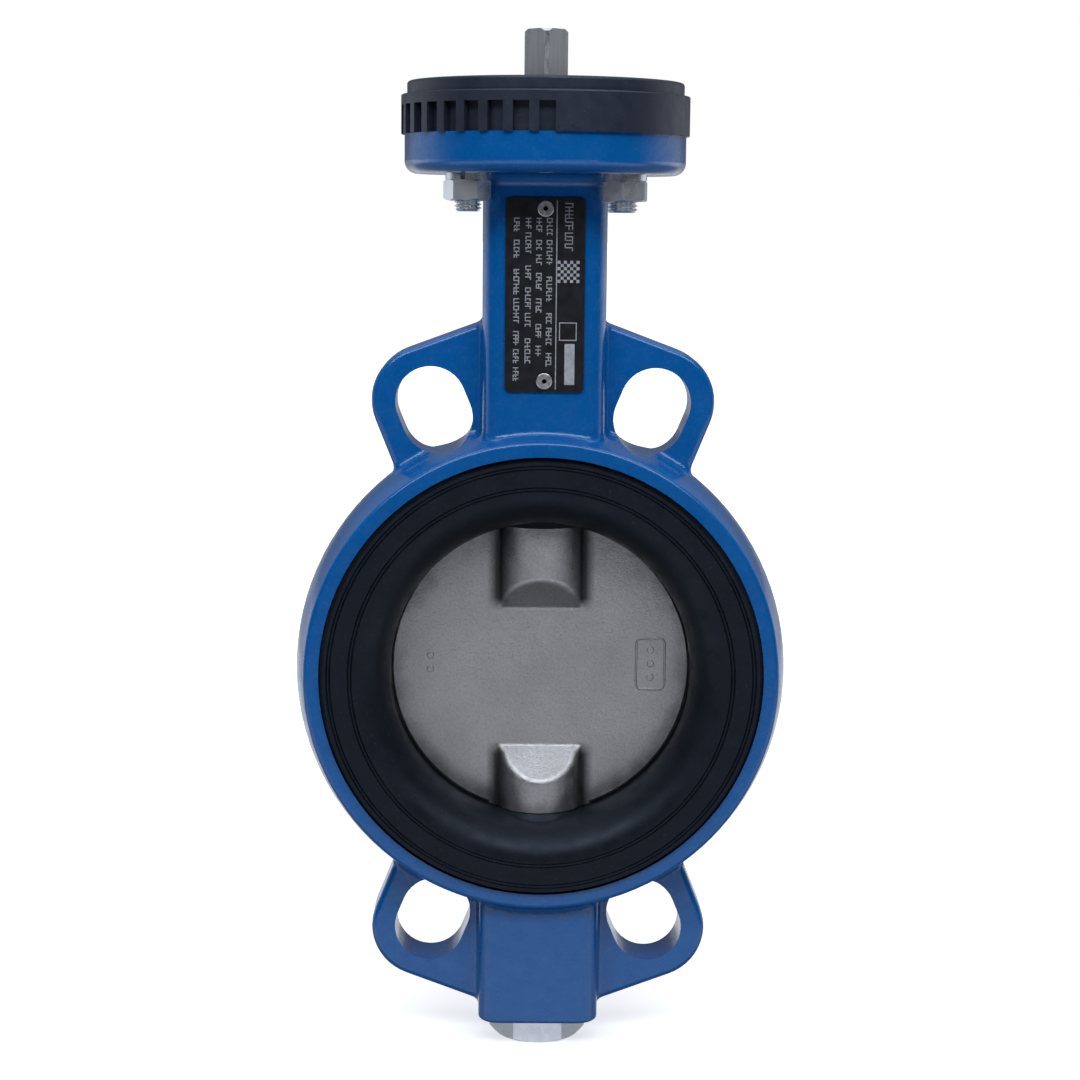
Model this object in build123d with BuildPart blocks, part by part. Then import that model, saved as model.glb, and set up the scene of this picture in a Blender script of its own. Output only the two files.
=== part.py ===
from build123d import *
import os
from math import cos, pi, radians, sin, sqrt

os.makedirs("parts", exist_ok=True)

# DN100 wafer butterfly valve, closed. The pipe axis is Y, the stem axis is Z, and they cross at the
# origin. The face that looks along -Y is the upstream face. All sizes are in millimetres.

# ------------------------------------------------------------------ body casting
ring_width = 50.0
ring_face_r = 76.7
ring_crown_r = 80.9
ring_edge_round = 1.5
body_bore_r = 58.0
recess_r = 72.0
recess_depth = 5.0
neck_width = 39.8
neck_corner_r = 7.0
neck_start = 62.0
boss_bottom = -118.2
flange_bottom = 161.2
flange_top = 173.7
flange_r = 45.4
flange_round = 4.0
cast_round = 2.0
valley_round = 3.0
boss_rim_round = 1.2

# Four ears that pass the pipe flange's bolts. Each slot runs outward, 22.5 degrees off the stem axis.
ear_thickness = 16.7
ear_angle = 22.5
ear_slot_pitch_r = 92.6
ear_slot_r = 11.5
ear_slot_travel = 5.6
ear_tip = (-38.2, 88.5)
ear_tip_r = 17.6
ear_root = (-21.0, 50.8)
ear_root_r = 19.5
ear_crest = (-14.0, 95.5)
ear_crest_r = 19.5
ear_side_round = 5.0

# ------------------------------------------------------------------ rubber seat
seat_face_y = 27.0
seat_face_r = 70.6
seat_lip_y = 23.8
seat_lip_r = 71.7
seat_gap = 0.05
bead_radii = (61.9, 68.8)
bead_half_width = 0.2
bead_groove_width = 0.3
bead_groove_depth = 0.4
throat_r = 50.0
throat_half = 6.0
throat_lip_r = 49.4
throat_lip = (9.0, 12.0)
funnel_r = 60.9
hub_land_z = 47.8
hub_land_r = 14.6
hub_land_slope = (3.0, 4.0)
land_root_z = 55.0

# ------------------------------------------------------------------ disc
disc_r = 49.7
disc_half_thickness = 4.0
disc_rim_bevel = 1.0
bevel_half_angle = 70
hub_r = 14.2
hub_outer_z = 47.5
upper_hub_inner = 19.8
lower_hub_inner = 26.5
hub_slope_rise = 10.5
hub_foot_round = 2.0
hub_arch_round = 2.8
hub_blank_z = 60.0
disc_blank_r = 55.0
mark_frame = (10.2, 18.0)
mark_frame_place = (36.5, 1.2)
mark_line = 0.8
mark_pip_r = 1.2
mark_pip_pitch = 4.6
mark_height = 0.5
mark_draft = 28

# ------------------------------------------------------------------ stems, bushes and seals
stem_r = 7.0
running_gap = 0.05
drive_square = 11.0
drive_square_length = 18.5
stem_top = 207.3
stem_top_chamfer = 0.9
lower_stem_chamfer = 0.8
end_gap = 0.2
socket_square = 9.8
socket_gap = 0.05
socket_bottom = 24.0
socket_top = 38.0
lower_socket_end = -33.0
lower_stem_end = -96.2
bush_r = 10.0
bush_chamfer = 0.6
relief_r = 8.0
neck_bush = (59.0, 89.0)
top_bush = (146.0, 165.5)
lower_bush = (-92.0, -59.0)
groove_r = 9.0
groove_height = 2.4
o_ring_r = 0.95
snap_groove_r = 6.3
snap_ring_z = 165.9
snap_ring_thickness = 1.0
snap_ring_r = 9.2
snap_ear_r = 1.9
snap_ear_place = (9.0, 2.6)
snap_ear_hole_r = 0.8
snap_ring_gap = 2.4
washer_z = 167.1
washer_thickness = 1.5
gland_r = 13.0
gland_floor = 165.7
dust_seal_wall = 1.6
dust_seal_web = 2.2
dust_seal_lip = 0.8
dust_seal_top_gap = 0.1
plug_thread_r = 12.0
plug_bore_top = -94.0
plug_top = -98.6
gasket_thickness = 1.0
plug_flats = 28.0
plug_bottom = -126.8
plug_chamfer = 1.2

# ------------------------------------------------------------------ notched plate and its bolts
plate_r = 46.5
plate_step_z = 186.2
plate_top_r = 44.6
plate_top = 190.4
plate_cavity_r = 40.3
plate_roof = 3.4
plate_rim_round = 0.9
plate_ledge_round = 0.5
notch_count = 10
notch_pitch = 10.0
first_notch = 0.2
notch_width = 5.0
notch_depth = 3.0
notch_top = 182.8
bolt_circle_r = 35.0
bolt_r = 4.0
bolt_hole_r = 4.5
spot_face_r = 7.8
spot_face_depth = 12.0
head_seat = 184.3
bolt_length = 35.0
head_height = 5.3
hex_flats = 13.0
hex_chamfer_slope = 0.6
pocket_r = 8.0
pocket_wall = 2.2
flat_washer_thickness = 1.6
washer_hole_gap = 0.2
bolt_end_chamfer = 0.8
spring_washer_r = 6.8
spring_washer_thickness = 2.0
spring_split_width = 1.3
spring_split_slant = 20
nut_height = 6.5

# ------------------------------------------------------------------ name plate
name_plate_size = (25.2, 61.3)
name_plate_thickness = 0.8
name_plate_z = 123.2
rivet_spacing = 54.4
rivet_r = 1.5
rivet_head_r = 2.6
rivet_head_height = 0.7
rivet_head_round = 0.3
rivet_hole_r = 0.75
rivet_hole_depth = 4.5
rivet_length = 5.0
rivet_bore_depth = 6.0

half_width = ring_width / 2
half_neck = neck_width / 2
half_ear = ear_thickness / 2
recess_floor = half_width - recess_depth
bolt_end = head_seat - bolt_length
seat_mid_r = body_bore_r - seat_gap
stem_bore_r = stem_r + running_gap


def distance_from_pipe_axis(shape):
    """Distance of a shape's centre from the pipe axis."""
    centre = shape.center()
    return sqrt(centre.X**2 + centre.Z**2)


def in_band(value, low, high):
    """Whether a value's size lies between two limits, whatever its sign."""
    return low < abs(value) < high


def is_ear_rim(edge):
    """Outline edges of the ears' two flat faces."""
    centre = edge.center()
    on_face = in_band(centre.Y, half_ear - 0.01, half_ear + 0.01)
    return on_face and distance_from_pipe_axis(edge) > ring_crown_r and abs(centre.X) > half_neck


def is_casting_valley(edge):
    """Edges where the ears, the neck and the boss grow out of the ring or meet each other."""
    centre = edge.center()
    near_neck_side = in_band(centre.X, half_neck - 0.1, half_neck + 0.1)
    near_ear_face = in_band(centre.Y, half_ear - 2.1, half_ear + 2.1)
    near_neck_front = in_band(centre.Y, half_ear, half_neck + 1)
    near_crown = in_band(distance_from_pipe_axis(edge), 78.0, 83.0)
    beyond_ring = in_band(centre.Z, 80.0, -boss_bottom)
    ear_on_neck = near_neck_side and abs(centre.Y) < half_ear + 0.1 and beyond_ring
    ear_on_ring = near_ear_face and near_crown
    neck_on_ring = in_band(centre.Z, 74.0, 82.0) and abs(centre.X) < half_neck + 1 and near_neck_front
    return ear_on_neck or ear_on_ring or neck_on_ring


# ------------------------------------------------------------------ valve body
with BuildPart() as valve_body:
    # Ring with a crowned outside
    with BuildSketch(Plane.XY):
        with BuildLine():
            crown = ThreePointArc(
                (ring_face_r, -half_width), (ring_crown_r, 0), (ring_face_r, half_width)
            )
            Polyline(crown @ 1, (body_bore_r, half_width), (body_bore_r, -half_width), crown @ 0)
        make_face()
    revolve(axis=Axis.Y)
    face_rims = valve_body.edges().filter_by(GeomType.CIRCLE).filter_by(
        lambda edge: abs(edge.radius - ring_face_r) < 0.1
    )
    fillet(face_rims, ring_edge_round)

    # Ears: one outline, mirrored to all four corners
    with BuildSketch(Plane.XZ) as ear_plan:
        with Locations(ear_tip):
            Circle(ear_tip_r)
        with Locations(ear_root):
            Circle(ear_root_r)
        with Locations(ear_crest):
            Circle(ear_crest_r)
        make_hull()
        mirror(about=Plane.YZ)
        mirror(about=Plane.XZ)
        ear_ring_r = ring_crown_r - 0.5
        Circle(ear_ring_r)
        side_corners = ear_plan.vertices().filter_by(
            lambda vertex: abs(vertex.X) > 40 and abs(sqrt(vertex.X**2 + vertex.Y**2) - ear_ring_r) < 0.3
        )
        fillet(side_corners, ear_side_round)
    extrude(amount=half_ear, both=True)

    # Square neck above and boss below
    with BuildSketch(Plane.XY.offset(neck_start)):
        RectangleRounded(neck_width, neck_width, neck_corner_r)
    extrude(amount=flange_bottom - neck_start)
    with BuildSketch(Plane.XY.offset(-neck_start)):
        RectangleRounded(neck_width, neck_width, neck_corner_r)
    extrude(amount=boss_bottom + neck_start)

    # Cast rounding of the ears and of every inner corner
    fillet(valve_body.edges().filter_by(is_ear_rim), cast_round)
    fillet(valve_body.edges().filter_by(is_casting_valley), valley_round)
    boss_rim = valve_body.edges().filter_by_position(Axis.Z, boss_bottom - 0.01, boss_bottom + 0.01)
    fillet(boss_rim, boss_rim_round)

    # Actuator flange
    with BuildSketch(Plane.XY.offset(flange_bottom)):
        Circle(flange_r)
    extrude(amount=flange_top - flange_bottom)
    flange_edges = valve_body.edges().filter_by_position(
        Axis.Z, flange_bottom - 0.01, flange_bottom + 0.01
    )
    flange_rim = flange_edges.filter_by(lambda edge: edge.length > 4 * flange_r)
    neck_top = flange_edges.filter_by(lambda edge: edge.length < 4 * flange_r)
    fillet(flange_rim, flange_round)
    fillet(neck_top, flange_round)

    # Ear slots, cut past the crown of the ring
    with BuildSketch(Plane.XZ):
        for first_angle in (90 - ear_angle, 270 - ear_angle):
            with PolarLocations(ear_slot_pitch_r, 2, first_angle, 2 * ear_angle, endpoint=True):
                SlotCenterToCenter(ear_slot_travel, 2 * ear_slot_r)
    extrude(amount=half_width, both=True, mode=Mode.SUBTRACT)

    # Main bore and the two recesses that hold the seat's lips
    with BuildSketch(Plane.XZ):
        Circle(body_bore_r)
    extrude(amount=half_width, both=True, mode=Mode.SUBTRACT)
    for side in (1, -1):
        with BuildSketch(Plane.XZ.offset(side * recess_floor)):
            Circle(recess_r)
        extrude(amount=side * recess_depth, mode=Mode.SUBTRACT)

    # Stepped stem bore through the neck
    for bore_start, bore_end, bore_r in (
        (body_bore_r - 5, neck_bush[1], bush_r),
        (neck_bush[1], top_bush[0], relief_r),
        (top_bush[0], gland_floor, bush_r),
        (gland_floor, flange_top, gland_r),
    ):
        with BuildSketch(Plane.XY.offset(bore_start)):
            Circle(bore_r)
        extrude(amount=bore_end - bore_start, mode=Mode.SUBTRACT)

    # Stem bore and plug thread through the boss
    for bore_start, bore_end, bore_r in (
        (-body_bore_r + 5, plug_bore_top, bush_r),
        (plug_bore_top, boss_bottom, plug_thread_r),
    ):
        with BuildSketch(Plane.XY.offset(bore_start)):
            Circle(bore_r)
        extrude(amount=bore_end - bore_start, mode=Mode.SUBTRACT)

    # Four bolt holes through the flange
    with BuildSketch(Plane.XY.offset(flange_top)):
        with PolarLocations(bolt_circle_r, 4, 45):
            Circle(bolt_hole_r)
    extrude(amount=flange_bottom - flange_top, mode=Mode.SUBTRACT)

    # Spot faces for the spring washers, cut into the rounding under the flange
    with BuildSketch(Plane.XY.offset(flange_bottom)):
        with PolarLocations(bolt_circle_r, 4, 45):
            Circle(spot_face_r)
    extrude(amount=-spot_face_depth, mode=Mode.SUBTRACT)

    # Blind rivet holes behind the name plate
    with BuildSketch(Plane.XZ.offset(half_neck)):
        with Locations((0, name_plate_z - rivet_spacing / 2), (0, name_plate_z + rivet_spacing / 2)):
            Circle(rivet_r)
    extrude(amount=-rivet_bore_depth, mode=Mode.SUBTRACT)

valve_body.part.label = "valve_body"
export_step(valve_body.part, "parts/valve_body.step")

# ------------------------------------------------------------------ rubber seat
def bead_section(radius):
    """Section of one sealing bead: a flat crest, flush with the face, between two narrow grooves."""
    floor_y = seat_face_y - bead_groove_depth
    root = bead_half_width + bead_groove_width
    outer = root + bead_groove_width
    return [
        (radius - outer, seat_face_y),
        (radius - root, floor_y),
        (radius - bead_half_width, seat_face_y),
        (radius + bead_half_width, seat_face_y),
        (radius + root, floor_y),
        (radius + outer, seat_face_y),
    ]


with BuildPart() as seat_liner:
    # One half of the section: rolled funnel, face with two beads, face lip, outside and throat
    with BuildSketch(Plane.XY):
        with BuildLine():
            roll_depth = seat_face_y - throat_lip[1]
            funnel = EllipticalCenterArc(
                (funnel_r, throat_lip[1]), funnel_r - throat_lip_r, roll_depth, 90, arc_size=90
            )
            Polyline(
                funnel @ 0,
                *bead_section(bead_radii[0]),
                *bead_section(bead_radii[1]),
                (seat_face_r, seat_face_y),
                (seat_face_r, seat_lip_y),
                (seat_lip_r, seat_lip_y),
                (seat_lip_r, recess_floor + seat_gap),
                (seat_mid_r, recess_floor + seat_gap),
                (seat_mid_r, 0),
                (throat_r, 0),
                (throat_r, throat_half),
                (throat_lip_r, throat_lip[0]),
                funnel @ 1,
            )
        make_face()
        mirror(about=Plane.XZ)
    revolve(axis=Axis.Y)

    # Flat lands that seal against the disc's hubs, with sloping sides
    for side in (1, -1):
        with BuildSketch(Plane.XZ):
            with BuildLine():
                Polyline(
                    (0, side * hub_land_z),
                    (hub_land_r, side * hub_land_z),
                    (hub_land_r + hub_land_slope[0], side * (hub_land_z + hub_land_slope[1])),
                    (hub_land_r + hub_land_slope[0], side * land_root_z),
                    (0, side * land_root_z),
                    close=True,
                )
            make_face()
        revolve(axis=Axis.Z)

    # Holes for the two stems
    with BuildSketch(Plane.XY.offset(-body_bore_r)):
        Circle(stem_bore_r)
    extrude(amount=2 * body_bore_r, mode=Mode.SUBTRACT)

seat_liner.part.label = "seat_liner"
export_step(seat_liner.part, "parts/seat_liner.step")

# ------------------------------------------------------------------ disc
def make_hub(inner_z, side):
    """A hub of the disc, left long: a round boss on the stem axis, its inner end sloped to the disc."""
    slope = hub_slope_rise / (hub_r - disc_half_thickness)
    reach = hub_r + 1
    crest_z = inner_z + slope * (reach - disc_half_thickness)
    with BuildPart() as hub:
        with BuildSketch(Plane.YZ):
            with BuildLine():
                Polyline(
                    (disc_half_thickness, side * inner_z),
                    (reach, side * crest_z),
                    (reach, side * hub_blank_z),
                    (-reach, side * hub_blank_z),
                    (-reach, side * crest_z),
                    (-disc_half_thickness, side * inner_z),
                    close=True,
                )
            make_face()
        extrude(amount=reach, both=True)
        with BuildSketch(Plane.XY):
            Circle(hub_r)
        extrude(amount=side * hub_blank_z, mode=Mode.INTERSECT)
    return hub.part


upper_hub = make_hub(upper_hub_inner, 1)
lower_hub = make_hub(lower_hub_inner, -1)

with BuildPart() as disc:
    # Oversize plate with both hubs
    with BuildSketch(Plane.XZ):
        Circle(disc_blank_r)
    extrude(amount=disc_half_thickness, both=True)
    add(upper_hub)
    add(lower_hub)

    # Cast rounding at the hubs' feet and round the arched ends
    hub_feet = disc.edges().filter_by(
        lambda edge: in_band(edge.center().Y, disc_half_thickness - 0.01, disc_half_thickness + 0.01)
        and edge.length < disc_blank_r
    )
    fillet(hub_feet, hub_foot_round)
    arches = disc.edges().filter_by(
        lambda edge: edge.geom_type == GeomType.ELLIPSE
        and in_band(edge.center().Y, disc_half_thickness + 1, hub_r)
        and abs(edge.center().Z) < hub_outer_z - 3
    )
    fillet(arches, hub_arch_round)

    # Spherical rim and flat hub ends
    Sphere(disc_r, mode=Mode.INTERSECT)
    split(bisect_by=Plane.XY.offset(hub_outer_z), keep=Keep.BOTTOM)
    split(bisect_by=Plane.XY.offset(-hub_outer_z), keep=Keep.TOP)

    # Bevelled rim on both faces, from hub to hub
    for side in (1, -1):
        for middle_angle in (0, 180):
            with BuildSketch(Plane.XY.rotated((0, middle_angle - bevel_half_angle, 0))):
                with BuildLine():
                    Polyline(
                        (disc_r - disc_rim_bevel - 1, side * (disc_half_thickness + 1)),
                        (disc_r + 1, side * (disc_half_thickness + 1)),
                        (disc_r + 1, side * (disc_half_thickness - disc_rim_bevel - 1)),
                        close=True,
                    )
                make_face()
            revolve(axis=Axis.Y, revolution_arc=2 * bevel_half_angle, mode=Mode.SUBTRACT)

    # Raised foundry marks: a rounded frame with three pips on one side, two pips on the other
    with BuildSketch(Plane.XZ.offset(disc_half_thickness)):
        with Locations(mark_frame_place):
            RectangleRounded(*mark_frame, 2 * mark_pip_r)
            RectangleRounded(
                mark_frame[0] - 2 * mark_line, mark_frame[1] - 2 * mark_line, mark_pip_r, mode=Mode.SUBTRACT
            )
            with GridLocations(0, mark_pip_pitch, 1, 3):
                Circle(mark_pip_r)
        with Locations((-mark_frame_place[0], mark_frame_place[1])):
            with GridLocations(0, mark_pip_pitch, 1, 2):
                Circle(mark_pip_r)
    extrude(amount=mark_height, taper=mark_draft)

    # Upper socket: a square at the bottom of a round bore
    with BuildSketch(Plane.XY.offset(socket_bottom)):
        Rectangle(socket_square + 2 * socket_gap, socket_square + 2 * socket_gap)
    extrude(amount=socket_top - socket_bottom, mode=Mode.SUBTRACT)
    with BuildSketch(Plane.XY.offset(socket_top)):
        Circle(stem_bore_r)
    extrude(amount=hub_outer_z - socket_top, mode=Mode.SUBTRACT)

    # Lower socket
    with BuildSketch(Plane.XY.offset(-hub_outer_z)):
        Circle(stem_bore_r)
    extrude(amount=lower_socket_end + hub_outer_z, mode=Mode.SUBTRACT)

disc.part.label = "disc"
export_step(disc.part, "parts/disc.step")

# ------------------------------------------------------------------ stems
with BuildPart() as drive_stem:
    with BuildSketch(Plane.XY.offset(socket_top + end_gap)):
        Circle(stem_r)
    extrude(amount=stem_top - socket_top - end_gap)
    chamfer(drive_stem.faces().sort_by(Axis.Z)[-1].edges(), stem_top_chamfer)

    # Square drive end, its corners in line with the pipe
    with BuildSketch(Plane.XY.offset(stem_top - drive_square_length)):
        Circle(stem_r + 1)
        Rectangle(drive_square, drive_square, rotation=45, mode=Mode.SUBTRACT)
    extrude(amount=drive_square_length, mode=Mode.SUBTRACT)

    # Square foot that turns the disc
    with BuildSketch(Plane.XY.offset(socket_bottom + end_gap)):
        Circle(stem_r - end_gap)
        Rectangle(socket_square, socket_square, mode=Mode.INTERSECT)
    extrude(amount=socket_top - socket_bottom)

    # Groove for the snap ring
    with BuildSketch(Plane.XY.offset(snap_ring_z - running_gap)):
        Circle(stem_r + 1)
        Circle(snap_groove_r, mode=Mode.SUBTRACT)
    extrude(amount=snap_ring_thickness + 2 * running_gap, mode=Mode.SUBTRACT)

drive_stem.part.label = "drive_stem"
export_step(drive_stem.part, "parts/drive_stem.step")

with BuildPart() as lower_stem:
    with BuildSketch(Plane.XY.offset(lower_stem_end)):
        Circle(stem_r)
    extrude(amount=lower_socket_end - end_gap - lower_stem_end)
    chamfer(lower_stem.edges().filter_by(GeomType.CIRCLE), lower_stem_chamfer)

lower_stem.part.label = "lower_stem"
export_step(lower_stem.part, "parts/lower_stem.step")


# ------------------------------------------------------------------ bushes and seals
def make_bush(span, groove_heights):
    """A plain bush in the stem bore, with inside grooves for O-rings at the given heights."""
    with BuildPart() as bush:
        with BuildSketch(Plane.XY.offset(span[0])):
            Circle(bush_r - seat_gap)
            Circle(stem_bore_r, mode=Mode.SUBTRACT)
        extrude(amount=span[1] - span[0])
        chamfer(bush.edges().filter_by(GeomType.CIRCLE).group_by(SortBy.RADIUS)[-1], bush_chamfer)
        for height in groove_heights:
            with BuildSketch(Plane.XY.offset(height - groove_height / 2)):
                Circle(groove_r)
                Circle(stem_bore_r, mode=Mode.SUBTRACT)
            extrude(amount=groove_height, mode=Mode.SUBTRACT)
    return bush


def make_o_rings(heights):
    """O-rings round the stem, one at each height."""
    with BuildPart() as rings:
        for height in heights:
            with BuildSketch(Plane.XZ):
                with Locations((stem_bore_r + o_ring_r, height)):
                    Circle(o_ring_r)
            revolve(axis=Axis.Z)
    return rings


neck_seal_heights = (neck_bush[1] - 5.0, neck_bush[1] - 10.5)
lower_seal_heights = (lower_bush[0] + 9.0,)

neck_bushing = make_bush(neck_bush, neck_seal_heights)
neck_bushing.part.label = "neck_bushing"
export_step(neck_bushing.part, "parts/neck_bushing.step")

top_bushing = make_bush(top_bush, ())
top_bushing.part.label = "top_bushing"
export_step(top_bushing.part, "parts/top_bushing.step")

lower_bushing = make_bush(lower_bush, lower_seal_heights)
lower_bushing.part.label = "lower_bushing"
export_step(lower_bushing.part, "parts/lower_bushing.step")

neck_o_rings = make_o_rings(neck_seal_heights)
neck_o_rings.part.label = "neck_o_rings"
export_step(neck_o_rings.part, "parts/neck_o_rings.step")

lower_o_ring = make_o_rings(lower_seal_heights)
lower_o_ring.part.label = "lower_o_ring"
export_step(lower_o_ring.part, "parts/lower_o_ring.step")

# Snap ring in the stem's groove: open on one side, with two rounded ears that each have a plier hole
with BuildPart() as retaining_ring:
    ear_x, ear_y = snap_ear_place
    with BuildSketch(Plane.XY.offset(snap_ring_z)):
        Circle(snap_ring_r)
        with Locations((ear_x, ear_y), (ear_x, -ear_y)):
            Circle(snap_ear_r)
        Circle(snap_groove_r + running_gap, mode=Mode.SUBTRACT)
        with Locations((ear_x, 0)):
            Rectangle(4 * snap_ear_r, snap_ring_gap, mode=Mode.SUBTRACT)
        with Locations((ear_x, ear_y), (ear_x, -ear_y)):
            Circle(snap_ear_hole_r, mode=Mode.SUBTRACT)
    extrude(amount=snap_ring_thickness)

retaining_ring.part.label = "retaining_ring"
export_step(retaining_ring.part, "parts/retaining_ring.step")

with BuildPart() as thrust_washer:
    with BuildSketch(Plane.XY.offset(washer_z)):
        Circle(gland_r - seat_gap)
        Circle(stem_r + 0.3, mode=Mode.SUBTRACT)
    extrude(amount=washer_thickness)

thrust_washer.part.label = "thrust_washer"
export_step(thrust_washer.part, "parts/thrust_washer.step")

# Rubber dust seal with a wiping lip, in the top of the neck
with BuildPart() as dust_seal:
    seal_base = washer_z + washer_thickness + seat_gap
    web_top = seal_base + dust_seal_web
    seal_top = flange_top - dust_seal_top_gap
    with BuildSketch(Plane.XZ):
        with BuildLine():
            Polyline(
                (stem_bore_r + dust_seal_lip, seal_base),
                (gland_r - seat_gap, seal_base),
                (gland_r - seat_gap, seal_top),
                (gland_r - dust_seal_wall, seal_top),
                (gland_r - dust_seal_wall - dust_seal_lip, web_top),
                (stem_bore_r + 2 * dust_seal_lip, web_top),
                (stem_bore_r + dust_seal_lip, seal_top),
                (stem_bore_r, seal_top - dust_seal_lip),
                close=True,
            )
        make_face()
    revolve(axis=Axis.Z)

dust_seal.part.label = "dust_seal"
export_step(dust_seal.part, "parts/dust_seal.step")


# ------------------------------------------------------------------ hexagons
def make_hexagon(flats, height, hole_r, chamfered_ends):
    """A hexagonal block on the origin's plane, turned to a chamfer at its chosen ends."""
    corner_r = flats / 2 / cos(radians(30))
    chamfer_r = flats / 2 - 0.1
    bottom_r = chamfer_r if chamfered_ends in ("bottom", "both") else corner_r
    top_r = chamfer_r if chamfered_ends in ("top", "both") else corner_r
    drop = (corner_r - chamfer_r) * hex_chamfer_slope
    with BuildPart() as block:
        with BuildSketch(Plane.XY):
            RegularPolygon(flats / 2, 6, major_radius=False)
        extrude(amount=height)
        with BuildSketch(Plane.XZ):
            with BuildLine():
                Polyline(
                    (hole_r, 0),
                    (bottom_r, 0),
                    (corner_r + 0.01, drop),
                    (corner_r + 0.01, height - drop),
                    (top_r, height),
                    (hole_r, height),
                    close=True,
                )
            make_face()
        revolve(axis=Axis.Z, mode=Mode.INTERSECT)
    return block.part


# ------------------------------------------------------------------ bottom plug
with BuildPart() as bottom_plug:
    hexagon_top = boss_bottom - gasket_thickness
    with Locations((0, 0, plug_bottom)):
        add(make_hexagon(plug_flats, hexagon_top - plug_bottom, 0, "bottom"))
    with BuildSketch(Plane.XY.offset(hexagon_top)):
        Circle(plug_thread_r - seat_gap)
    extrude(amount=plug_top - hexagon_top)
    chamfer(bottom_plug.faces().sort_by(Axis.Z)[-1].edges(), plug_chamfer)

bottom_plug.part.label = "bottom_plug"
export_step(bottom_plug.part, "parts/bottom_plug.step")

with BuildPart() as plug_gasket:
    with BuildSketch(Plane.XY.offset(boss_bottom)):
        Circle(plug_flats / 2 - end_gap)
        Circle(plug_thread_r + running_gap, mode=Mode.SUBTRACT)
    extrude(amount=-gasket_thickness)

plug_gasket.part.label = "plug_gasket"
export_step(plug_gasket.part, "parts/plug_gasket.step")

with BuildPart() as thrust_pad:
    with BuildSketch(Plane.XY.offset(plug_top + end_gap)):
        Circle(plug_thread_r - end_gap)
    extrude(amount=lower_stem_end - plug_top - 2 * end_gap)

thrust_pad.part.label = "thrust_pad"
export_step(thrust_pad.part, "parts/thrust_pad.step")

# ------------------------------------------------------------------ notched plate on the flange
pocket_floor = head_seat - flat_washer_thickness

with BuildPart() as notch_plate:
    # Skirt and stepped top
    with BuildSketch(Plane.XY.offset(flange_top)):
        Circle(plate_r)
    extrude(amount=plate_step_z - flange_top)
    with BuildSketch(Plane.XY.offset(plate_step_z)):
        Circle(plate_top_r)
    extrude(amount=plate_top - plate_step_z)
    top_rim = notch_plate.edges().filter_by_position(Axis.Z, plate_top - 0.01, plate_top + 0.01)
    fillet(top_rim, plate_rim_round)
    ledge = notch_plate.edges().filter_by(
        lambda edge: abs(edge.center().Z - plate_step_z) < 0.01 and edge.length > 2 * pi * (plate_r - 0.5)
    )
    fillet(ledge, plate_ledge_round)

    # Hollow underside, with a boss round each bolt and a tube round the stem
    with BuildSketch(Plane.XY.offset(flange_top)):
        Circle(plate_cavity_r)
        with PolarLocations(bolt_circle_r, 4, 45):
            Circle(pocket_r + pocket_wall, mode=Mode.SUBTRACT)
        Circle(gland_r, mode=Mode.SUBTRACT)
    extrude(amount=plate_top - plate_roof - flange_top, mode=Mode.SUBTRACT)

    # Pockets for the bolt heads, and the holes below them
    with BuildSketch(Plane.XY.offset(pocket_floor)):
        with PolarLocations(bolt_circle_r, 4, 45):
            Circle(pocket_r)
    extrude(amount=plate_top - pocket_floor, mode=Mode.SUBTRACT)
    with BuildSketch(Plane.XY.offset(flange_top)):
        with PolarLocations(bolt_circle_r, 4, 45):
            Circle(bolt_hole_r)
        Circle(stem_r + 0.3)
    extrude(amount=plate_top - flange_top, mode=Mode.SUBTRACT)

    # Ten notches over a quarter turn, from the front round to the left
    with BuildSketch(Plane.XY.offset(flange_top)):
        with PolarLocations(
            plate_r - notch_depth / 2 + 1,
            notch_count,
            270 - first_notch - notch_pitch * (notch_count - 1),
            notch_pitch * (notch_count - 1),
            endpoint=True,
        ):
            Rectangle(notch_depth + 2, notch_width)
    extrude(amount=notch_top - flange_top, mode=Mode.SUBTRACT)

notch_plate.part.label = "notch_plate"
export_step(notch_plate.part, "parts/notch_plate.step")

# ------------------------------------------------------------------ fasteners
# Each bolt stands at its own angle, and its nut and split washer have their own turn.
bolt_angles = (45, 135, 225, 315)
nut_turns = (8, 41, 56, 20)
split_turns = (60, 160, 255, 100)
bolt_places = [
    (bolt_circle_r * cos(radians(angle)), bolt_circle_r * sin(radians(angle))) for angle in bolt_angles
]
spring_washer_bottom = flange_bottom - spring_washer_thickness

with BuildPart() as flange_bolts:
    with BuildSketch(Plane.XY.offset(bolt_end)):
        with Locations(*bolt_places):
            Circle(bolt_r)
    extrude(amount=bolt_length + head_height / 2)
    for place in bolt_places:
        with Locations((*place, head_seat)):
            add(make_hexagon(hex_flats, head_height, 0, "top"))
    end_rims = flange_bolts.edges().filter_by_position(Axis.Z, bolt_end - 0.01, bolt_end + 0.01)
    chamfer(end_rims, bolt_end_chamfer)

flange_bolts.part.label = "flange_bolts"
export_step(flange_bolts.part, "parts/flange_bolts.step")

with BuildPart() as flat_washers:
    with BuildSketch(Plane.XY.offset(pocket_floor)):
        with Locations(*bolt_places):
            Circle(pocket_r - 2 * washer_hole_gap)
            Circle(bolt_r + washer_hole_gap, mode=Mode.SUBTRACT)
    extrude(amount=flat_washer_thickness)

flat_washers.part.label = "flat_washers"
export_step(flat_washers.part, "parts/flat_washers.step")

with BuildPart() as spring_washers:
    for place, turn in zip(bolt_places, split_turns):
        with BuildSketch(Plane.XY.offset(spring_washer_bottom)):
            with Locations(Location(place, turn)):
                Circle(spring_washer_r)
                Circle(bolt_r + washer_hole_gap, mode=Mode.SUBTRACT)
                with Locations(((spring_washer_r + bolt_r) / 2, 0)):
                    Rectangle(bolt_r + 1, spring_split_width, rotation=spring_split_slant, mode=Mode.SUBTRACT)
        extrude(amount=spring_washer_thickness)

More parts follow.
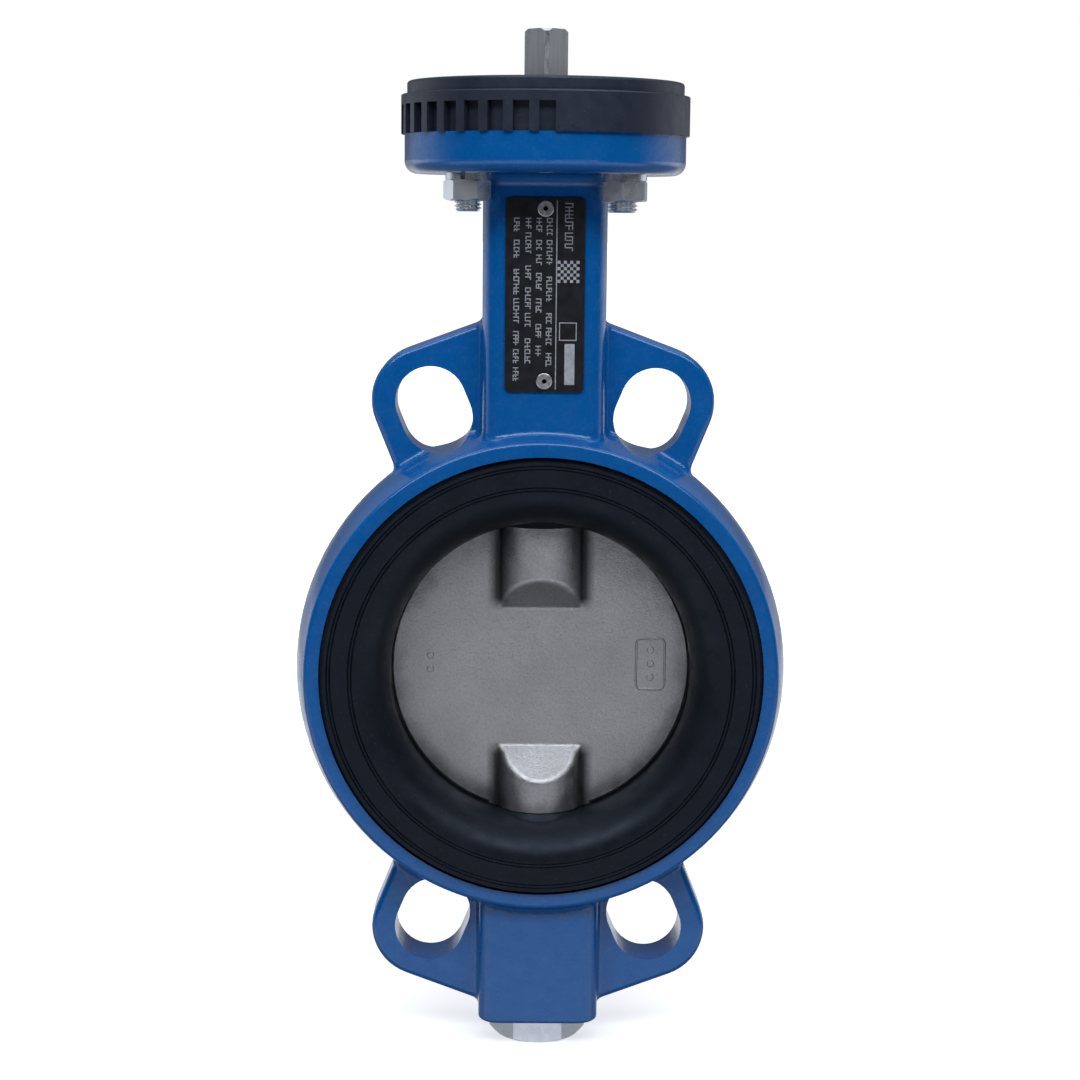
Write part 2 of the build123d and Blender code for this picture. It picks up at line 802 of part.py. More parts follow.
spring_washers.part.label = "spring_washers"
export_step(spring_washers.part, "parts/spring_washers.step")

with BuildPart() as flange_nuts:
    for place, turn in zip(bolt_places, nut_turns):
        with Locations((*place, spring_washer_bottom - nut_height)):
            add(make_hexagon(hex_flats, nut_height, bolt_r + seat_gap, "both"), rotation=(0, 0, turn))

flange_nuts.part.label = "flange_nuts"
export_step(flange_nuts.part, "parts/flange_nuts.step")

# ------------------------------------------------------------------ name plate
rivet_places = [(0, name_plate_z - rivet_spacing / 2), (0, name_plate_z + rivet_spacing / 2)]

with BuildPart() as name_plate:
    with BuildSketch(Plane.XZ.offset(half_neck)):
        with Locations((0, name_plate_z)):
            RectangleRounded(*name_plate_size, 1.5)
        with Locations(*rivet_places):
            Circle(rivet_r + 0.1, mode=Mode.SUBTRACT)
    extrude(amount=name_plate_thickness)

name_plate.part.label = "name_plate"
export_step(name_plate.part, "parts/name_plate.step")

with BuildPart() as plate_rivets:
    with BuildSketch(Plane.XZ.offset(half_neck + name_plate_thickness)):
        with Locations(*rivet_places):
            Circle(rivet_head_r)
    extrude(amount=rivet_head_height)
    fillet(plate_rivets.faces().sort_by(Axis.Y)[:2].edges(), rivet_head_round)
    with BuildSketch(Plane.XZ.offset(half_neck - rivet_length)):
        with Locations(*rivet_places):
            Circle(rivet_r - seat_gap)
    extrude(amount=rivet_length + name_plate_thickness)
    rivet_face = half_neck + name_plate_thickness + rivet_head_height
    with BuildSketch(Plane.XZ.offset(rivet_face)):
        with Locations(*rivet_places):
            Circle(rivet_hole_r)
    extrude(amount=-rivet_hole_depth, mode=Mode.SUBTRACT)

plate_rivets.part.label = "plate_rivets"
export_step(plate_rivets.part, "parts/plate_rivets.step")
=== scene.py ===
import bpy
import random
from functools import reduce
from math import ceil, cos, pi, radians, sin, tan
from mathutils import Matrix, Vector


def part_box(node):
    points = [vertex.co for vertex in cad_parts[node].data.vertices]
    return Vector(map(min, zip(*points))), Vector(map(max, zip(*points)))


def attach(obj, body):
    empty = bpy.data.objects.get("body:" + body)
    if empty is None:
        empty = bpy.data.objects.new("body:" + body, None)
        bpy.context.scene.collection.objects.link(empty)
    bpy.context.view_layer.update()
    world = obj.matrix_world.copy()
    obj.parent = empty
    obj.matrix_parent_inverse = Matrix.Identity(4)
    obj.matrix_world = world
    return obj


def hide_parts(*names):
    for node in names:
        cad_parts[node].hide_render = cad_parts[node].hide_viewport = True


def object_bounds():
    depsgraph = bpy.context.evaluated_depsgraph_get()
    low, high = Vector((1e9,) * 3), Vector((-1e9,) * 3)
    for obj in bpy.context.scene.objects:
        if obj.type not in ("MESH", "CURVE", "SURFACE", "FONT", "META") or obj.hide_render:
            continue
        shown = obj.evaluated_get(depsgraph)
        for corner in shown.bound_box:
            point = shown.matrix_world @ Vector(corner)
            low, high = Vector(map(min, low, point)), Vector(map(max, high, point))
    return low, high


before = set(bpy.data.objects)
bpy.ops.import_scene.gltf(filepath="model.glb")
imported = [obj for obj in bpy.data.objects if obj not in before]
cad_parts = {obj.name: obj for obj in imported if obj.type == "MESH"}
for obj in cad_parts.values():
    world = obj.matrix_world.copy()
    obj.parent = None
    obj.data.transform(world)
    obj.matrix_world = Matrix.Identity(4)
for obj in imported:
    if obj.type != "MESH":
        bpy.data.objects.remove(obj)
cad_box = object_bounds()
scene = bpy.context.scene

MM = 0.001

# ------------------------------------------------------------------ view and light (metres, radians)
CAMERA_PLACE = Vector((-0.01143, -0.73426, 0.14943))
CAMERA_LENS = 74.68  # millimetres
CAMERA_SENSOR = 36.0  # millimetres
CAMERA_PITCH = -0.1455
CAMERA_YAW = -0.0149
CAMERA_ROLL = 0.0099

FLOOR_Z = cad_box[0].z
FLOOR_SIZE = 40.0

FLOOR_GLOW_RANGE = (250, 900)  # millimetres from the floor's middle
FLOOR_GLOW = (0.62, 1.1)  # emission at each end of that range

TOP_LIGHT_PLACE = (0, -0.1, 1.25)
TOP_LIGHT_SIZE = (1.6, 0.8)
TOP_LIGHT_WATTS = 6
FRONT_LIGHT_PLACE = (0, -1.0, 1.05)
FRONT_LIGHT_SIZE = (2.2, 0.5)
FRONT_LIGHT_WATTS = 18
LIGHT_TARGET = Vector((0, 0, 0.03))

STUDIO_COLOUR = (0.94, 0.975, 1.05)
COOL_SHEEN = (0.72, 0.84, 1.0, 1.0)

# ------------------------------------------------------------------ flange bolts (millimetres, degrees)
BOLT_COUNT = 4
BOLT_R = 4.0
BOLT_CIRCLE_R = 35.0
BOLT_FIRST_PLACE = 45
BOLT_FIRST_TURN = 11
BOLT_TURN_STEP = 23
THREAD_PITCH = 1.25
THREAD_DEPTH = 0.6134 * THREAD_PITCH
THREAD_CREST = 0.125  # from the middle of a crest to its edge, in half pitches
THREAD_FLANK = 0.625  # one flank along the bolt, in half pitches
THREAD_LENGTH = 5.0
THREAD_STEPS = 14  # rings in one pitch
END_CHAMFER = 0.95
HEX_FLATS = 13.0
HEAD_HEIGHT = 5.3
HEAD_TOP_R = 0.96 * HEX_FLATS / 2
HEAD_CHAMFER_ANGLE = 30
RING_STEPS = 72

# ------------------------------------------------------------------ places of dirt and painted shade (millimetres)
RIVET_HOLE_PAINTED_SHADE = (-21.2, -20.8)  # along Y, from the rim into the hole: where the painted shade starts and where it is full
RIM_GRIME = (34, 48)  # from the disc's centre
HUB_MIDDLE_Z = -3.35  # halfway between the two hubs
HUB_PAINTED_SHADE = (  # along each axis from there: where the painted shade starts and where it is full
    ("X", 10.5, 14.2),
    ("X", 18.0, 14.8),
    ("Z", 22.0, 26.5),
    ("Y", 12.5, 6.0),
)


# ------------------------------------------------------------------ mesh helpers
def link_object(name, data):
    """A new object in the scene."""
    made = bpy.data.objects.new(name, data)
    scene.collection.objects.link(made)
    return made


def mesh_object(name, points, faces, sharp_degrees=35):
    """A shaded-smooth mesh object from points in millimetres, with its sharp edges kept."""
    mesh = bpy.data.meshes.new(name)
    mesh.from_pydata([Vector(point) * MM for point in points], [], faces)
    mesh.validate()
    mesh.shade_smooth()
    mesh.set_sharp_from_angle(angle=radians(sharp_degrees))
    return link_object(name, mesh)


def add_ring_stack(points, faces, rings):
    """Appends a closed surface: rings of equal count joined by quads, with a cap at each end."""
    start = len(points)
    count = len(rings[0])
    for ring in rings:
        points.extend(ring)
    for level in range(len(rings) - 1):
        low = start + level * count
        high = low + count
        for i in range(count):
            j = (i + 1) % count
            faces.append((low + i, low + j, high + j, high + i))
    faces.append(tuple(start + i for i in reversed(range(count))))
    last = start + (len(rings) - 1) * count
    faces.append(tuple(last + i for i in range(count)))


def add_box(points, faces, low, high):
    """Appends a box between two corners."""
    start = len(points)
    for z in (low[2], high[2]):
        for x, y in ((low[0], low[1]), (high[0], low[1]), (high[0], high[1]), (low[0], high[1])):
            points.append((x, y, z))
    for face in ((0, 3, 2, 1), (4, 5, 6, 7), (0, 1, 5, 4), (1, 2, 6, 5), (2, 3, 7, 6), (3, 0, 4, 7)):
        faces.append(tuple(start + i for i in face))


# ------------------------------------------------------------------ threaded bolts
def hexagon_reach(angle, flats):
    """Distance from a hexagon's centre to its outline at an angle from a corner."""
    from_corner = angle % (pi / 3)
    return flats / 2 / cos(from_corner - pi / 6)


def thread_radius(height, angle):
    """Radius of the bolt's thread: a helix with flat crests and roots."""
    turn = (height / THREAD_PITCH - angle / (2 * pi)) % 1
    from_crest = 1 - abs(2 * turn - 1)
    share = min(max((from_crest - THREAD_CREST) / THREAD_FLANK, 0), 1)
    return BOLT_R - THREAD_DEPTH * share


def bolt_rings(centre, end, seat, turn):
    """Rings of one bolt from its threaded end up to its head's top."""
    angles = [2 * pi * i / RING_STEPS for i in range(RING_STEPS)]
    head_top = seat + HEAD_HEIGHT
    rings = []

    def add_ring(height_at, radius_at):
        """Adds one ring, whose height and radius follow the angle."""
        ring = []
        for angle in angles:
            x = centre.x + radius_at(angle) * cos(angle + turn)
            y = centre.y + radius_at(angle) * sin(angle + turn)
            ring.append((x, y, height_at(angle)))
        rings.append(ring)

    def corner_drop(angle):
        """How far the head's top chamfer has fallen at the hexagon's outline."""
        return (hexagon_reach(angle, HEX_FLATS) - HEAD_TOP_R) * tan(radians(HEAD_CHAMFER_ANGLE))

    step = THREAD_PITCH / THREAD_STEPS
    for level in range(ceil(THREAD_LENGTH / step)):
        above_end = level * step
        end_cone = BOLT_R - END_CHAMFER + above_end
        add_ring(lambda a: end + above_end, lambda a: min(thread_radius(above_end, a), end_cone))
    add_ring(lambda a: end + THREAD_LENGTH, lambda a: BOLT_R)
    add_ring(lambda a: seat, lambda a: BOLT_R)
    add_ring(lambda a: seat, lambda a: hexagon_reach(a, HEX_FLATS))
    add_ring(lambda a: head_top - corner_drop(a), lambda a: hexagon_reach(a, HEX_FLATS))
    add_ring(lambda a: head_top, lambda a: HEAD_TOP_R)
    return rings


def make_threaded_bolts():
    """The four flange bolts, with real threads at their ends."""
    low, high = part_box("flange_bolts")
    end = low.z / MM
    seat = high.z / MM - HEAD_HEIGHT
    points, faces = [], []
    for number in range(BOLT_COUNT):
        around = radians(BOLT_FIRST_PLACE + 360 / BOLT_COUNT * number)
        centre = Vector((cos(around), sin(around))) * BOLT_CIRCLE_R
        turn = radians(BOLT_FIRST_TURN + BOLT_TURN_STEP * number)
        add_ring_stack(points, faces, bolt_rings(centre, end, seat, turn))
    bolts = mesh_object("threaded_flange_bolts", points, faces)
    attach(bolts, "valve")
    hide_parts("flange_bolts")
    return bolts


# ------------------------------------------------------------------ print on the name plate (millimetres)
PRINT_HEIGHT = 0.04
PRINT_LINE = 0.3
LETTER_STEP = 1.15
LETTER_WIDTH_SHARES = (0.45, 0.6)  # of a letter's size
ARM_START = 0.9  # in lines from the outer edge of the stem, which the arm so overlaps a little
WORD_LENGTHS = (3, 7)
WORD_GAPS = (1, 2, 3)
PRINT_ROWS = (  # place across the plate, first and last height, letter size
    (1.3, 24.3, -22.5, 1.8),
    (-2.0, 24.3, -20.4, 1.8),
    (-5.4, 24.3, -21.9, 1.8),
    (-9.1, 24.3, -26.7, 1.8),
    (7.4, 29.0, 13.4, 2.6),
)
DIVIDER = (3.45, -29.8, 29.8)
CHEQUER_PLACE = (3.9, 4.0)
CHEQUER_SIZE = 7.0
CHEQUER_CELLS = 7
CHEQUER_FILL = 0.96  # printed share of a cell's side
FRAME_CORNERS = ((4.6, -14.3), (10.2, -8.5))
BAR_CORNERS = ((6.4, -28.3), (9.6, -15.3))


def make_plate_print():
    """Rows of pale strokes that stand for data, a divider, a frame, a bar and a chequered square."""
    low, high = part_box("name_plate")
    middle = (low + high) / 2 / MM
    face = low.y / MM
    draw = random.Random(7)
    points, faces = [], []

    def mark(x0, x1, z0, z1):
        add_box(
            points,
            faces,
            (middle.x + x0, face - PRINT_HEIGHT, middle.z + z0),
            (middle.x + x1, face + PRINT_HEIGHT, middle.z + z1),
        )

    def stroke_letter(across, place, size):
        """One made-up letter, lying on its side: a stem with one or two arms."""
        width = size * draw.uniform(*LETTER_WIDTH_SHARES)
        mark(across - size / 2, across + size / 2, place - PRINT_LINE, place)
        for arm in draw.sample((0, 1, 2), draw.choice((1, 2))):
            x0 = across - size / 2 + arm * (size - PRINT_LINE) / 2
            mark(x0, x0 + PRINT_LINE, place - width, place - PRINT_LINE * ARM_START)

    for across, top, bottom, size in PRINT_ROWS:
        place = top
        letters_left = draw.randint(*WORD_LENGTHS)
        while place > bottom:
            stroke_letter(across, place, size)
            place -= LETTER_STEP
            letters_left -= 1
            if letters_left == 0:
                place -= LETTER_STEP * draw.choice(WORD_GAPS)
                letters_left = draw.randint(*WORD_LENGTHS)

    mark(DIVIDER[0], DIVIDER[0] + PRINT_LINE, DIVIDER[1], DIVIDER[2])
    cell = CHEQUER_SIZE / CHEQUER_CELLS
    for row in range(CHEQUER_CELLS):
        for column in range(CHEQUER_CELLS):
            if (row + column) % 2 == 0:
                x0 = CHEQUER_PLACE[0] + column * cell
                z0 = CHEQUER_PLACE[1] + row * cell
                mark(x0, x0 + cell * CHEQUER_FILL, z0, z0 + cell * CHEQUER_FILL)
    (left, bottom), (right, top) = FRAME_CORNERS
    mark(left, right, bottom, bottom + PRINT_LINE)
    mark(left, right, top - PRINT_LINE, top)
    mark(left, left + PRINT_LINE, bottom + PRINT_LINE, top - PRINT_LINE)
    mark(right - PRINT_LINE, right, bottom + PRINT_LINE, top - PRINT_LINE)
    (left, bottom), (right, top) = BAR_CORNERS
    mark(left, right, bottom, top)
    printed = mesh_object("name_plate_print", points, faces)
    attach(printed, "valve")
    return printed


# ------------------------------------------------------------------ materials
class Surface:
    """One node material with a Principled shader, built up a feature at a time."""

    def __init__(self, name, colour, roughness, metallic=0.0, specular=0.5):
        self.material = bpy.data.materials.new(name)
        self.material.use_nodes = True
        self.tree = self.material.node_tree
        self.shader = self.tree.nodes["Principled BSDF"]
        self.shader.inputs["Base Color"].default_value = (*colour, 1)
        self.shader.inputs["Roughness"].default_value = roughness
        self.shader.inputs["Metallic"].default_value = metallic
        self.shader.inputs["Specular IOR Level"].default_value = specular
        self.colour = colour
        self.coordinates = self.add("ShaderNodeTexCoord").outputs["Object"]

    def add(self, kind, **settings):
        """A new node in the material, with its settings."""
        node = self.tree.nodes.new(kind)
        for key, value in settings.items():
            setattr(node, key, value)
        return node

    def join(self, source, target):
        """Links one socket to another."""
        self.tree.links.new(source, target)

    def noise(self, size_mm, detail=3.0, stretch=(1, 1, 1)):
        """Noise with features about size_mm across."""
        scaled = self.add("ShaderNodeMapping")
        scaled.inputs["Scale"].default_value = stretch
        self.join(self.coordinates, scaled.inputs["Vector"])
        node = self.add("ShaderNodeTexNoise")
        node.inputs["Scale"].default_value = 1 / (size_mm * MM)
        node.inputs["Detail"].default_value = detail
        self.join(scaled.outputs["Vector"], node.inputs["Vector"])
        return node.outputs["Fac"]

    def spread(self, value, low, high, to_low, to_high):
        """A value rescaled from one range to another, held at the ends."""
        node = self.add("ShaderNodeMapRange")
        self.join(value, node.inputs["Value"])
        for key, number in zip(("From Min", "From Max", "To Min", "To Max"), (low, high, to_low, to_high)):
            node.inputs[key].default_value = number
        return node.outputs["Result"]

    def tint(self, value, other):
        """Mixes another colour into the base colour by a value."""
        mix = self.add("ShaderNodeMix", data_type="RGBA")
        self.join(value, mix.inputs["Factor"])
        base = self.shader.inputs["Base Color"]
        if base.links:
            self.join(base.links[0].from_socket, mix.inputs["A"])
        else:
            mix.inputs["A"].default_value = (*self.colour, 1)
        mix.inputs["B"].default_value = (*other, 1)
        self.join(mix.outputs["Result"], base)

    def mottle(self, colour, size_mm, detail, start, full, amount):
        """Patches of another colour, mixed in as noise rises from start to full."""
        self.tint(self.spread(self.noise(size_mm, detail), start, full, 0, amount), colour)

    def product(self, first, second):
        """Two values multiplied."""
        node = self.add("ShaderNodeMath", operation="MULTIPLY")
        self.join(first, node.inputs[0])
        self.join(second, node.inputs[1])
        return node.outputs["Value"]

    def beyond(self, start_mm, end_mm, to_low=0, to_high=1):
        """A value that changes between two distances from the origin of the coordinates."""
        distance = self.add("ShaderNodeVectorMath", operation="LENGTH")
        self.join(self.coordinates, distance.inputs[0])
        return self.spread(distance.outputs["Value"], start_mm * MM, end_mm * MM, to_low, to_high)

    def painted_shade_beside_hubs(self):
        """Painted shade in the corners where the disc's hubs leave its plate: strips along the stem axis.
        """
        centred = self.add("ShaderNodeVectorMath", operation="SUBTRACT")
        centred.inputs[1].default_value = (0, 0, HUB_MIDDLE_Z * MM)
        self.join(self.coordinates, centred.inputs[0])
        parts = self.add("ShaderNodeSeparateXYZ")
        self.join(centred.outputs["Vector"], parts.inputs["Vector"])
        steps = []
        for axis, start, full in HUB_PAINTED_SHADE:
            size = self.add("ShaderNodeMath", operation="ABSOLUTE")
            self.join(parts.outputs[axis], size.inputs[0])
            steps.append(self.spread(size.outputs["Value"], start * MM, full * MM, 0, 1))
        return reduce(self.product, steps)

    def vary_roughness(self, value, low, high):
        """Roughness that follows a value between two limits."""
        self.join(self.spread(value, 0.3, 0.7, low, high), self.shader.inputs["Roughness"])

    def raise_by(self, value, height_mm, strength=1.0):
        """Adds relief on top of what is there."""
        bump = self.add("ShaderNodeBump")
        bump.inputs["Strength"].default_value = strength
        bump.inputs["Distance"].default_value = height_mm * MM
        self.join(value, bump.inputs["Height"])
        normal = self.shader.inputs["Normal"]
        if normal.links:
            self.join(normal.links[0].from_socket, bump.inputs["Normal"])
        self.join(bump.outputs["Normal"], normal)


def blue_enamel():
    """Gloss enamel over a sand casting: faint waves, fine grain and paler specks."""
    paint = Surface("blue_enamel", (0.001, 0.112, 0.385), 0.2, specular=0.42)
    paint.shader.inputs["Coat Weight"].default_value = 0.25
    paint.shader.inputs["Coat Roughness"].default_value = 0.06
    paint.mottle((0.001, 0.090, 0.32), size_mm=14, detail=4, start=0.35, full=0.75, amount=0.4)
    paint.mottle((0.012, 0.17, 0.47), size_mm=0.9, detail=3, start=0.5, full=0.75, amount=0.4)
    paint.vary_roughness(paint.noise(5), 0.15, 0.3)
    paint.raise_by(paint.noise(7, 2), 0.14)
    paint.raise_by(paint.noise(1.2, 3), 0.05)
    return paint.material


def seat_rubber():
    """Moulded rubber with paler patches and a little dust."""
    rubber = Surface("seat_rubber", (0.0045, 0.007, 0.012), 0.5, specular=0.32)
    rubber.shader.inputs["Specular Tint"].default_value = COOL_SHEEN
    rubber.mottle((0.010, 0.014, 0.021), size_mm=9, detail=5, start=0.4, full=0.8, amount=0.5)
    rubber.mottle((0.05, 0.06, 0.075), size_mm=0.7, detail=2, start=0.66, full=0.72, amount=0.35)
    rubber.vary_roughness(rubber.noise(6), 0.4, 0.58)
    rubber.raise_by(rubber.noise(0.5, 2), 0.015)
    return rubber.material


def cast_stainless():
    """A blasted casting, dirtier towards its rim, with painted shade beside its hubs."""
    metal = Surface("cast_stainless", (0.54, 0.54, 0.55), 0.5, metallic=1.0)
    metal.mottle((0.40, 0.395, 0.395), size_mm=16, detail=5, start=0.4, full=0.75, amount=0.45)
    metal.mottle((0.30, 0.30, 0.31), size_mm=0.8, detail=3, start=0.45, full=0.75, amount=0.5)
    smudges = metal.product(metal.beyond(*RIM_GRIME), metal.noise(11, 4))
    metal.tint(metal.spread(smudges, 0.36, 0.62, 0, 0.6), (0.20, 0.20, 0.21))
    # painted shade: the corners beside the hubs are darkened as if in shadow
    metal.tint(metal.painted_shade_beside_hubs(), (0.07, 0.07, 0.07))
    metal.vary_roughness(metal.noise(3), 0.42, 0.58)
    metal.raise_by(metal.noise(2.2, 3), 0.06)
    metal.raise_by(metal.noise(0.6, 3), 0.10)
    return metal.material


def stem_steel():
    """Ground steel with long streaks and fine marks round it."""
    metal = Surface("stem_steel", (0.56, 0.57, 0.59), 0.36, metallic=1.0)
    streaks = metal.noise(1.2, 4, stretch=(1, 1, 0.08))
    metal.tint(metal.spread(streaks, 0.4, 0.8, 0, 0.5), (0.34, 0.35, 0.37))
    metal.vary_roughness(metal.noise(2), 0.3, 0.45)
    metal.raise_by(metal.noise(0.35, 2, stretch=(0.1, 0.1, 1)), 0.05)
    return metal.material


def zinc_steel():
    """Bright zinc plating."""
    zinc = Surface("zinc_steel", (0.76, 0.80, 0.84), 0.3, metallic=0.8)
    zinc.mottle((0.58, 0.59, 0.6), size_mm=6, detail=3, start=0.5, full=0.85, amount=0.12)
    zinc.vary_roughness(zinc.noise(2.5), 0.26, 0.32)
    zinc.raise_by(zinc.noise(1.5, 2), 0.005)
    return zinc.material


def dark_plastic():
    """Satin moulded plastic with a little dust."""
    plastic = Surface("dark_plastic", (0.019, 0.024, 0.038), 0.4, specular=0.48)
    plastic.shader.inputs["Specular Tint"].default_value = COOL_SHEEN
    plastic.mottle((0.024, 0.031, 0.048), size_mm=8, detail=5, start=0.4, full=0.8, amount=0.4)
    plastic.mottle((0.11, 0.12, 0.14), size_mm=0.6, detail=2, start=0.67, full=0.73, amount=0.3)
    plastic.vary_roughness(plastic.noise(4), 0.36, 0.5)
    plastic.raise_by(plastic.noise(0.5, 2), 0.015)
    return plastic.material


def black_plate():
    """The name plate's black ground."""
    plate = Surface("black_plate", (0.006, 0.0065, 0.009), 0.38)
    plate.vary_roughness(plate.noise(3), 0.32, 0.46)
    plate.raise_by(plate.noise(0.4, 2), 0.004)
    return plate.material


def plate_print():
    """Slightly worn pale ink."""
    ink = Surface("plate_print", (0.42, 0.44, 0.48), 0.5)
    ink.mottle((0.22, 0.235, 0.26), size_mm=1.5, detail=3, start=0.4, full=0.7, amount=0.6)
    ink.vary_roughness(ink.noise(1), 0.42, 0.6)
    return ink.material


def rivet_aluminium():
    """Bright rivets, with painted shade darkening the inside of each hole."""
    metal = Surface("rivet_aluminium", (0.72, 0.72, 0.71), 0.34, metallic=1.0)
    parts = metal.add("ShaderNodeSeparateXYZ")
    metal.join(metal.coordinates, parts.inputs["Vector"])
    rim, inside = RIVET_HOLE_PAINTED_SHADE
    # painted shade: the metal inside the hole is darkened as if in shadow
    metal.tint(metal.spread(parts.outputs["Y"], rim * MM, inside * MM, 0, 1), (0.02, 0.02, 0.02))
    metal.vary_roughness(metal.noise(1), 0.28, 0.45)
    metal.raise_by(metal.noise(0.4, 2), 0.01)
    return metal.material


def bush_plastic():
    """Machined pale plastic."""
    plastic = Surface("bush_plastic", (0.42, 0.38, 0.30), 0.5)
    plastic.mottle((0.3, 0.27, 0.22), size_mm=4, detail=4, start=0.4, full=0.8, amount=0.4)
    plastic.vary_roughness(plastic.noise(2), 0.42, 0.6)
    return plastic.material


def seal_rubber():
    """Black rubber of the O-rings and the dust seal."""
    rubber = Surface("seal_rubber", (0.014, 0.014, 0.015), 0.5, specular=0.4)
    rubber.vary_roughness(rubber.noise(2), 0.4, 0.6)
    rubber.raise_by(rubber.noise(0.4, 2), 0.006)
    return rubber.material


def spring_steel():
    """Blackened spring steel."""
    metal = Surface("spring_steel", (0.12, 0.12, 0.125), 0.35, metallic=1.0)
    metal.vary_roughness(metal.noise(1), 0.28, 0.45)
    metal.raise_by(metal.noise(0.5, 2), 0.006)
    return metal.material


def gasket_fibre():
    """Compressed fibre, grey green."""
    fibre = Surface("gasket_fibre", (0.10, 0.13, 0.11), 0.8)
    fibre.mottle((0.17, 0.2, 0.17), size_mm=0.6, detail=4, start=0.4, full=0.7, amount=0.7)
    fibre.raise_by(fibre.noise(0.5, 3), 0.02)
    return fibre.material


SLOT_MATERIALS = (
    blue_enamel,
    seat_rubber,
    cast_stainless,
    stem_steel,
    zinc_steel,
    dark_plastic,
    black_plate,
    rivet_aluminium,
    bush_plastic,
    seal_rubber,
    spring_steel,
    gasket_fibre,
)
MATERIALS = {make.__name__: make() for make in SLOT_MATERIALS}


def finish_cad_nodes():
    """Every CAD node takes the material of its slot, which has the imported material's name."""
    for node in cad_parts.values():
        for place in node.material_slots:
            slot_name = place.material.name.split(".")[0]
            place.material = MATERIALS[slot_name]


# ------------------------------------------------------------------ studio
def make_floor():
    """A pale floor under the plug, which grows brighter with distance until it meets the background."""
    half = FLOOR_SIZE / 2
    corners = [(-half, -half, 0), (half, -half, 0), (half, half, 0), (-half, half, 0)]
    mesh = bpy.data.meshes.new("floor")
    mesh.from_pydata(corners, [], [(0, 1, 2, 3)])
    floor = link_object("floor", mesh)
    floor.location.z = FLOOR_Z
    pale = Surface("pale_floor", (0.85, 0.85, 0.85), 0.7, specular=0.2)
    pale.shader.inputs["Emission Color"].default_value = (1, 1, 1, 1)
    pale.join(pale.beyond(*FLOOR_GLOW_RANGE, *FLOOR_GLOW), pale.shader.inputs["Emission Strength"])
    mesh.materials.append(pale.material)
    floor.visible_glossy = False
    floor.visible_diffuse = False


def make_area_light(name, place, size, watts):
    """A rectangular soft light that faces the object."""
    data = bpy.data.lights.new(name, "AREA")
    data.shape = "RECTANGLE"
    data.size, data.size_y = size
    data.energy = watts
    data.color = STUDIO_COLOUR
    light = link_object(name, data)
    light.location = place
    facing = LIGHT_TARGET - Vector(place)
    light.rotation_mode = "QUATERNION"
    light.rotation_quaternion = facing.to_track_quat("-Z", "Y")


def make_lights():
    """One softbox above the object and one above the camera."""
    make_area_light("top_softbox", TOP_LIGHT_PLACE, TOP_LIGHT_SIZE, TOP_LIGHT_WATTS)
    make_area_light("front_softbox", FRONT_LIGHT_PLACE, FRONT_LIGHT_SIZE, FRONT_LIGHT_WATTS)


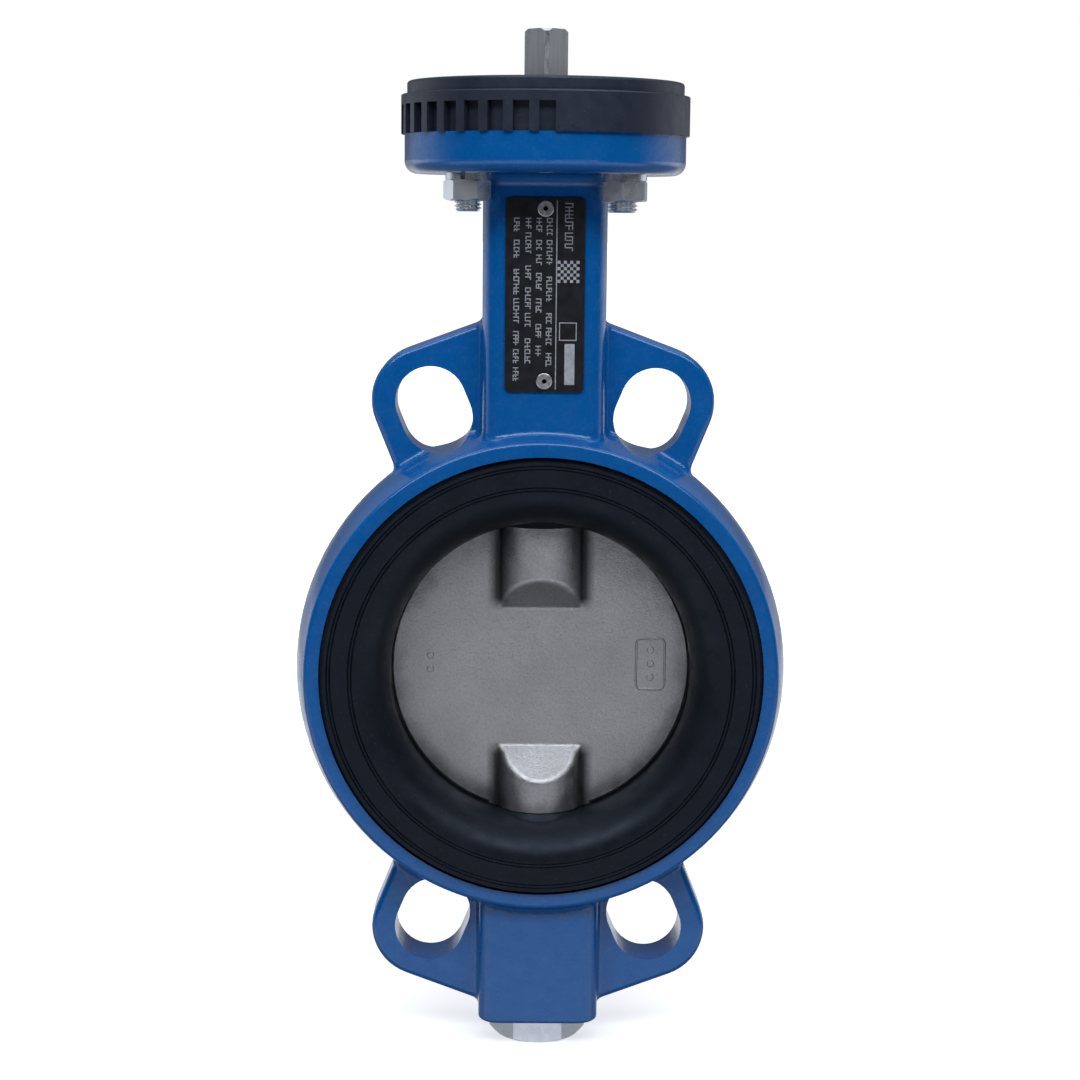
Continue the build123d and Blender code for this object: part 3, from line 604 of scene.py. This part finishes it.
def make_world():
    """A soft surround, dark on the camera's side except near the ground, with a plain white background."""
    world = bpy.data.worlds.new("studio")
    world.use_nodes = True
    scene.world = world
    tree = world.node_tree
    lit = tree.nodes["Background"]
    output = tree.nodes["World Output"]
    direction = tree.nodes.new("ShaderNodeTexCoord")
    parts = tree.nodes.new("ShaderNodeSeparateXYZ")
    tree.links.new(direction.outputs["Generated"], parts.inputs["Vector"])

    def ramp(axis, start, end, low, high):
        """Brightness from low to high, as a direction's part along an axis goes from start to end."""
        node = tree.nodes.new("ShaderNodeMapRange")
        node.interpolation_type = "SMOOTHSTEP"
        for key, number in zip(("From Min", "From Max", "To Min", "To Max"), (start, end, low, high)):
            node.inputs[key].default_value = number
        tree.links.new(parts.outputs[axis], node.inputs["Value"])
        return node.outputs["Result"]

    def combine(operation, first, second):
        """Two values put together by a math operation."""
        node = tree.nodes.new("ShaderNodeMath")
        node.operation = operation
        tree.links.new(first, node.inputs[0])
        tree.links.new(second, node.inputs[1])
        return node.outputs["Value"]

    def product(*values):
        """All the values multiplied."""
        return reduce(lambda first, second: combine("MULTIPLY", first, second), values)

    # Pale walls at the sides, dimmer straight behind and above, and dark towards the camera
    sides = ramp("Y", -0.25, 0.35, 0.01, 1.0)
    not_behind = ramp("Y", 0.65, 0.92, 1.0, 0.3)
    low_down = ramp("Z", -0.05, 0.03, 1.6, 0.55)
    above_table = ramp("Z", -0.3, -0.12, 0.2, 1.0)
    walls = product(sides, not_behind, low_down, above_table)
    # The pale table, close in front and further away behind
    below_horizon = ramp("Z", -0.36, -0.15, 1.1, 0.0)
    towards_camera = ramp("Y", -0.2, 0.3, 1.0, 0.25)
    not_underneath = ramp("Z", -0.75, -0.45, 0.15, 1.0)
    table_in_front = product(below_horizon, towards_camera, not_underneath)
    just_below_horizon = ramp("Z", -0.2, -0.1, 1.0, 0.0)
    far_behind = ramp("Y", 0.6, 0.95, 0.0, 1.0)
    table_behind = product(just_below_horizon, far_behind)
    table = combine("MAXIMUM", table_in_front, table_behind)
    strength = combine("MAXIMUM", walls, table)
    tree.links.new(strength, lit.inputs["Strength"])
    lit.inputs["Color"].default_value = (*STUDIO_COLOUR, 1)

    # The background itself, which only the camera sees
    seen = tree.nodes.new("ShaderNodeBackground")
    seen.inputs["Strength"].default_value = 1.0
    seen.inputs["Color"].default_value = (1, 1, 1, 1)
    path = tree.nodes.new("ShaderNodeLightPath")
    mix = tree.nodes.new("ShaderNodeMixShader")
    tree.links.new(path.outputs["Is Camera Ray"], mix.inputs["Fac"])
    tree.links.new(lit.outputs["Background"], mix.inputs[1])
    tree.links.new(seen.outputs["Background"], mix.inputs[2])
    tree.links.new(mix.outputs["Shader"], output.inputs["Surface"])


def make_camera():
    """The camera, almost straight on and a little above the middle."""
    data = bpy.data.cameras.new("camera")
    data.sensor_width = CAMERA_SENSOR
    data.lens = CAMERA_LENS
    camera = link_object("camera", data)
    turn = (
        Matrix.Rotation(CAMERA_YAW, 4, "Z")
        @ Matrix.Rotation(pi / 2 + CAMERA_PITCH, 4, "X")
        @ Matrix.Rotation(CAMERA_ROLL, 4, "Z")
    )
    camera.matrix_world = Matrix.Translation(CAMERA_PLACE) @ turn
    scene.camera = camera


finish_cad_nodes()
bolts = make_threaded_bolts()
bolts.data.materials.append(MATERIALS["zinc_steel"])
printed = make_plate_print()
printed.data.materials.append(plate_print())
make_floor()
make_lights()
make_world()
make_camera()
scene.view_settings.view_transform = "Standard"
